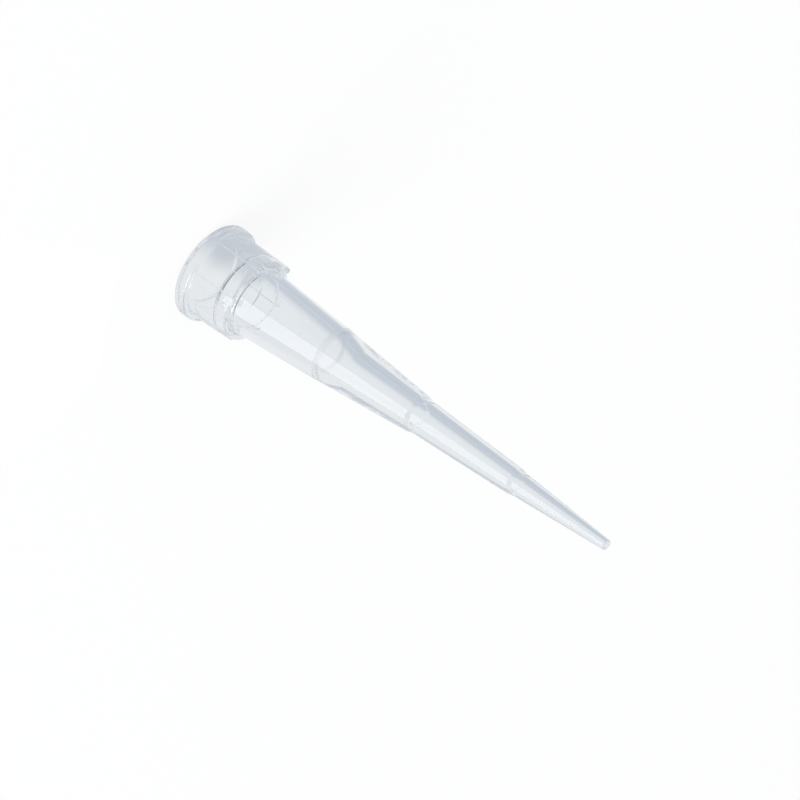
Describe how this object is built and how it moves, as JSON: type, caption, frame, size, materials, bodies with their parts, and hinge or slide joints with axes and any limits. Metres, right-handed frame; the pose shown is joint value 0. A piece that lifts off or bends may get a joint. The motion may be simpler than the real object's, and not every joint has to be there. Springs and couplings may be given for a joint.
{
  "type": "pipette tip",
  "caption": "Slender tapered laboratory tip with a flanged, ribbed collar, a stepped socket at the wide end and three moulded volume marks.",
  "frame": {"origin": "centre of the wide end's flat face, on which the tip stands", "axes": "+Z along the tip's axis, from the wide end to the narrow end; +X through the middle of one of the six ribs"},
  "size_m": [0.006, 0.006, 0.0318],
  "materials": {
    "clear_polypropylene": "clear injection-moulded polypropylene, smooth and glossy, with a faint haze"
  },
  "bodies": {
    "root": {"pipette_tip": "clear_polypropylene"}
  },
  "joints": []
}
